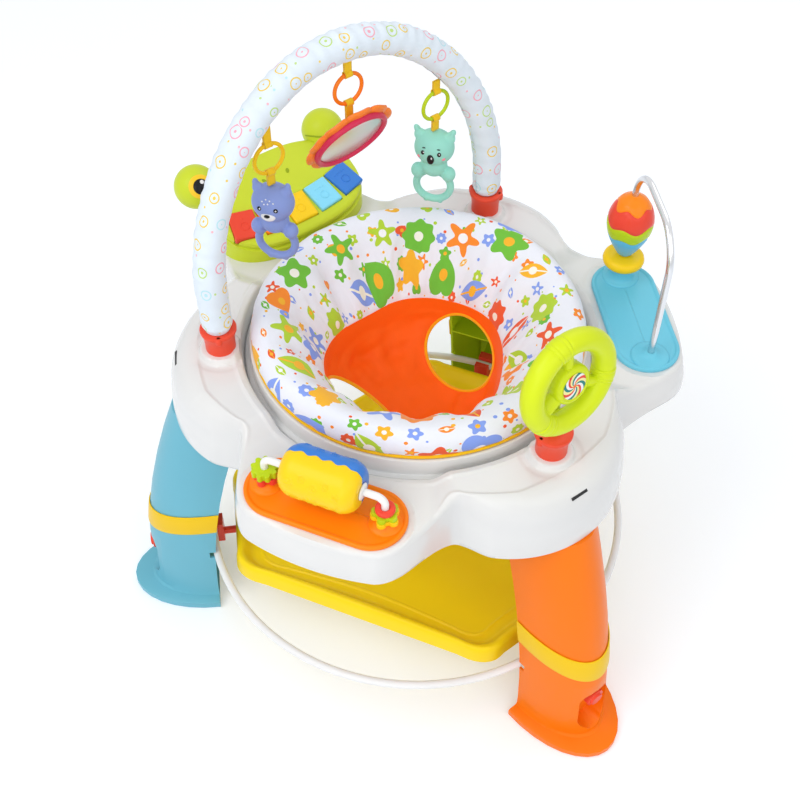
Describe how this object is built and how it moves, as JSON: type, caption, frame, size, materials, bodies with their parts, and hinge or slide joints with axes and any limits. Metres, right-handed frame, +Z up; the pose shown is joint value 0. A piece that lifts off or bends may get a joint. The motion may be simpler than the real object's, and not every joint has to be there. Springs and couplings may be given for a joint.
{
  "type": "baby jumper frame",
  "caption": "Free-standing baby activity jumper: splayed legs, floor ring and foot platform carry a moulded tray with a turning padded fabric seat, a toy arch and spinning toys.",
  "frame": {"origin": "on the floor, under the axis of the turning seat", "axes": "+Z up; -Y towards the front toy station, with the drum; +X towards the side with the toy wheel and the balloon hoop"},
  "size_m": [0.6926, 0.6975, 0.7495],
  "materials": {
    "sky_plastic": "satin moulded plastic",
    "orange_plastic": "satin moulded plastic",
    "lime_plastic": "satin moulded plastic",
    "yellow_plastic": "satin moulded plastic",
    "red_plastic": "satin moulded plastic",
    "blue_plastic": "satin moulded plastic",
    "key_sky_plastic": "satin moulded plastic",
    "white_plastic": "gloss moulded plastic",
    "white_metal": "white powder coat",
    "seat_fabric": "printed woven cover over foam",
    "sling_fabric": "woven cloth",
    "sleeve_fabric": "printed woven cover over foam",
    "yellow_webbing": "woven tape",
    "bear_plastic": "soft satin plastic",
    "koala_plastic": "soft satin plastic",
    "crimson_plastic": "satin moulded plastic",
    "toy_mirror": "silvered plastic sheet",
    "board": "matt board",
    "speaker": "matt"
  },
  "bodies": {
    "frame": {"leg_left": "sky_plastic", "leg_right": "orange_plastic", "leg_back": "lime_plastic", "leg_bands": "yellow_plastic", "floor_ring": "white_metal", "ring_saddles": "red_plastic", "platform": "yellow_plastic", "tray_shell": "white_plastic", "arch_collars": "red_plastic", "wheel_collar": "red_plastic", "arch_tube": "white_plastic", "arch_sleeve": "sleeve_fabric", "sewn_loops": "yellow_webbing", "frog_base": "lime_plastic", "frog_face": "lime_plastic", "frog_board": "board", "frog_speaker": "speaker", "plate_front": "orange_plastic", "rod_front": "white_metal", "plate_right": "sky_plastic", "rod_right": "white_metal", "wheel_stalk": "lime_plastic"},
    "seat": {"seat_ring": "white_plastic", "seat_retainer": "white_plastic", "seat_pad": "seat_fabric", "seat_sling": "sling_fabric"},
    "pin_left": {"lock_pin_left": "red_plastic"},
    "pin_right": {"lock_pin_right": "red_plastic"},
    "pin_back": {"lock_pin_back": "red_plastic"},
    "ring_left": {"ring_left": "yellow_plastic"},
    "bear": {"bear_strap": "yellow_webbing", "bear_rattle": "bear_plastic"},
    "ring_middle": {"ring_middle": "orange_plastic"},
    "mirror": {"mirror_strap": "yellow_webbing", "mirror_petals": "orange_plastic", "mirror_rim": "crimson_plastic", "mirror_glass": "toy_mirror"},
    "ring_right": {"ring_right": "lime_plastic"},
    "koala": {"koala_strap": "yellow_webbing", "koala_rattle": "koala_plastic"},
    "eye_left": {"frog_eye_left": "lime_plastic"},
    "eye_right": {"frog_eye_right": "lime_plastic"},
    "key_red": {"key_red": "red_plastic"},
    "key_orange": {"key_orange": "orange_plastic"},
    "key_yellow": {"key_yellow": "yellow_plastic"},
    "key_sky": {"key_sky": "key_sky_plastic"},
    "key_blue": {"key_blue": "blue_plastic"},
    "drum": {"drum_front": "yellow_plastic", "drum_back": "blue_plastic"},
    "bead_gear": {"bead_gear": "lime_plastic"},
    "bead_star_red": {"bead_star_red": "red_plastic"},
    "bead_ring": {"bead_ring": "red_plastic"},
    "bead_star_lime": {"bead_star_lime": "lime_plastic"},
    "bead_star_yellow": {"bead_star_yellow": "yellow_plastic"},
    "disc": {"spin_disc": "yellow_plastic"},
    "balloon": {"balloon_sky": "sky_plastic", "balloon_lime": "lime_plastic", "balloon_red": "red_plastic", "balloon_orange": "orange_plastic"},
    "wheel": {"toy_wheel": "lime_plastic"}
  },
  "joints": [
    {"name": "seat_turn", "type": "hinge", "parent": "frame", "child": "seat", "pos_m": [0, 0, 0.412], "axis": [0, 0, 1], "continuous": true},
    {"name": "pin_left_pull", "type": "slide", "parent": "frame", "child": "pin_left", "axis": [-0.866, -0.5, 0], "range_m": [0, 0.012], "stiffness_N_per_m": 250},
    {"name": "pin_right_pull", "type": "slide", "parent": "frame", "child": "pin_right", "axis": [0.866, -0.5, 0], "range_m": [0, 0.012], "stiffness_N_per_m": 250},
    {"name": "pin_back_pull", "type": "slide", "parent": "frame", "child": "pin_back", "axis": [0, 1, 0], "range_m": [0, 0.012], "stiffness_N_per_m": 250},
    {"name": "ring_left_swing", "type": "hinge", "parent": "frame", "child": "ring_left", "pos_m": [-0.16665, -0.01032, 0.65588], "axis": [0.5, 0.866, 0], "range_deg": [-30, 30]},
    {"name": "bear_swing", "type": "hinge", "parent": "ring_left", "child": "bear", "pos_m": [-0.16665, -0.01032, 0.62038], "axis": [0.5, 0.866, 0], "range_deg": [-30, 30]},
    {"name": "ring_middle_swing", "type": "hinge", "parent": "frame", "child": "ring_middle", "pos_m": [-0.11699, 0.08512, 0.69391], "axis": [0.5, 0.866, 0], "range_deg": [-30, 30]},
    {"name": "mirror_swing", "type": "hinge", "parent": "ring_middle", "child": "mirror", "pos_m": [-0.11699, 0.08512, 0.65841], "axis": [0.5, 0.866, 0], "range_deg": [-30, 30]},
    {"name": "ring_right_swing", "type": "hinge", "parent": "frame", "child": "ring_right", "pos_m": [-0.05229, 0.17803, 0.62998], "axis": [0.5, 0.866, 0], "range_deg": [-30, 30]},
    {"name": "koala_swing", "type": "hinge", "parent": "ring_right", "child": "koala", "pos_m": [-0.05229, 0.17803, 0.59448], "axis": [0.5, 0.866, 0], "range_deg": [-30, 30]},
    {"name": "eye_left_turn", "type": "hinge", "parent": "frame", "child": "eye_left", "pos_m": [-0.32326, 0.07809, 0.486], "axis": [0.8192, 0.2195, -0.5298], "continuous": true},
    {"name": "eye_right_turn", "type": "hinge", "parent": "frame", "child": "eye_right", "pos_m": [-0.22926, 0.24091, 0.486], "axis": [0.2195, -0.8192, -0.5298], "continuous": true},
    {"name": "key_red_press", "type": "slide", "parent": "frame", "child": "key_red", "axis": [0.3075, -0.1776, 0.9348], "range_m": [-0.003, 0], "stiffness_N_per_m": 600},
    {"name": "key_orange_press", "type": "slide", "parent": "frame", "child": "key_orange", "axis": [0.3075, -0.1776, 0.9348], "range_m": [-0.003, 0], "stiffness_N_per_m": 600},
    {"name": "key_yellow_press", "type": "slide", "parent": "frame", "child": "key_yellow", "axis": [0.3075, -0.1776, 0.9348], "range_m": [-0.003, 0], "stiffness_N_per_m": 600},
    {"name": "key_sky_press", "type": "slide", "parent": "frame", "child": "key_sky", "axis": [0.3075, -0.1776, 0.9348], "range_m": [-0.003, 0], "stiffness_N_per_m": 600},
    {"name": "key_blue_press", "type": "slide", "parent": "frame", "child": "key_blue", "axis": [0.3075, -0.1776, 0.9348], "range_m": [-0.003, 0], "stiffness_N_per_m": 600},
    {"name": "drum_spin", "type": "hinge", "parent": "frame", "child": "drum", "pos_m": [0, -0.255, 0.468], "axis": [1, 0, 0], "continuous": true},
    {"name": "bead_gear_spin", "type": "hinge", "parent": "frame", "child": "bead_gear", "pos_m": [-0.0667, -0.255, 0.44], "axis": [0, 0, 1], "continuous": true},
    {"name": "bead_star_red_spin", "type": "hinge", "parent": "frame", "child": "bead_star_red", "pos_m": [-0.0667, -0.255, 0.44], "axis": [0, 0, 1], "continuous": true},
    {"name": "bead_ring_spin", "type": "hinge", "parent": "frame", "child": "bead_ring", "pos_m": [0.0667, -0.255, 0.44], "axis": [0, 0, 1], "continuous": true},
    {"name": "bead_star_lime_spin", "type": "hinge", "parent": "frame", "child": "bead_star_lime", "pos_m": [0.0667, -0.255, 0.44], "axis": [0, 0, 1], "continuous": true},
    {"name": "bead_star_yellow_spin", "type": "hinge", "parent": "frame", "child": "bead_star_yellow", "pos_m": [0.0667, -0.255, 0.44], "axis": [0, 0, 1], "continuous": true},
    {"name": "disc_spin", "type": "hinge", "parent": "frame", "child": "disc", "pos_m": [0.18749, 0.18526, 0.45], "axis": [0, 0, 1], "continuous": true},
    {"name": "balloon_spin", "type": "hinge", "parent": "frame", "child": "balloon", "pos_m": [0.18749, 0.18526, 0.5], "axis": [0, 0, 1], "continuous": true},
    {"name": "wheel_spin", "type": "hinge", "parent": "frame", "child": "wheel", "pos_m": [0.20197, -0.11661, 0.55446], "axis": [0.8554, -0.4938, 0.1564], "continuous": true}
  ]
}
